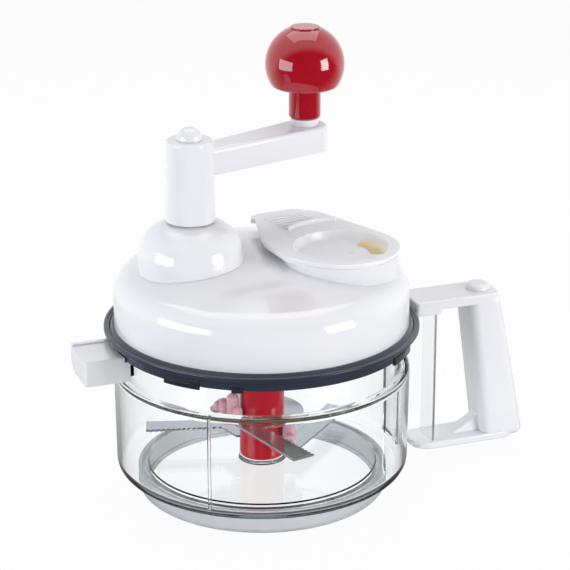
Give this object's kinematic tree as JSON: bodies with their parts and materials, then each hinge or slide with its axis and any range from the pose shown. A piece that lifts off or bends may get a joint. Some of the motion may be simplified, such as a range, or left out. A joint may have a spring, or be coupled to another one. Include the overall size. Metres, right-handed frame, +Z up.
{
  "type": "crank food chopper",
  "caption": "Hand-cranked food chopper: clear stepped bowl with a side handle, white geared lid with a filler cup, ball-knob crank, and toothed steel blades on a red post.",
  "frame": {"origin": "centre of the round underside, on the surface the bowl stands on", "axes": "+Z up along the bowl's axis, +X toward the side handle, +Y to the rear of the pictured view"},
  "size_m": [0.273, 0.18, 0.2606],
  "materials": {
    "clear_plastic": "clear gloss",
    "foot_plastic": "satin",
    "white_plastic": "gloss",
    "ivory_plastic": "matte",
    "dark_plastic": "gloss",
    "red_plastic": "high gloss",
    "steel": "turned",
    "blade_steel": "ground and polished",
    "brass": "turned"
  },
  "bodies": {
    "base": {"bowl": "clear_plastic", "foot_ring": "foot_plastic", "handle": "white_plastic", "handle_cap": "white_plastic", "side_grip": "white_plastic"},
    "lid": {"lid_ring": "dark_plastic", "lid_shell": "white_plastic", "gearbox_dome": "white_plastic", "gear_plate": "ivory_plastic", "plate_screws": "steel", "crank_bush": "brass"},
    "cup": {"filler_cup": "white_plastic"},
    "crank": {"crank_shaft": "steel", "drive_gear": "ivory_plastic", "crank_arm": "white_plastic", "crank_cap": "white_plastic", "knob_pin": "steel"},
    "knob": {"knob": "red_plastic", "knob_cap": "red_plastic"},
    "blades": {"spindle": "steel", "pinion": "ivory_plastic", "blade_post": "red_plastic", "blade_spacer_foot": "red_plastic", "blade_spacer_low": "red_plastic", "blade_spacer_mid": "red_plastic", "blade_low": "blade_steel", "blade_mid": "blade_steel", "blade_high": "blade_steel"}
  },
  "joints": [
    {"name": "lid_turn", "type": "hinge", "parent": "base", "child": "lid", "pos_m": [0, 0, 0.098], "axis": [0, 0, 1], "range_deg": [0, 20]},
    {"name": "crank_turn", "type": "hinge", "parent": "lid", "child": "crank", "pos_m": [-0.03927, 0.00763, 0.16], "axis": [0, 0, 1], "continuous": true},
    {"name": "knob_spin", "type": "hinge", "parent": "crank", "child": "knob", "pos_m": [0.03959, 0.0354, 0.238], "axis": [0, 0, 1], "continuous": true},
    {"name": "blade_spin", "type": "hinge", "parent": "lid", "child": "blades", "pos_m": [0, 0, 0.06], "axis": [0, 0, 1], "continuous": true},
    {"name": "cup_lift", "type": "slide", "parent": "lid", "child": "cup", "axis": [0, 0, 1], "range_m": [0, 0.03]}
  ],
  "couplings": [
    {"joint": "blade_spin", "follows": "crank_turn", "ratio": -3}
  ]
}
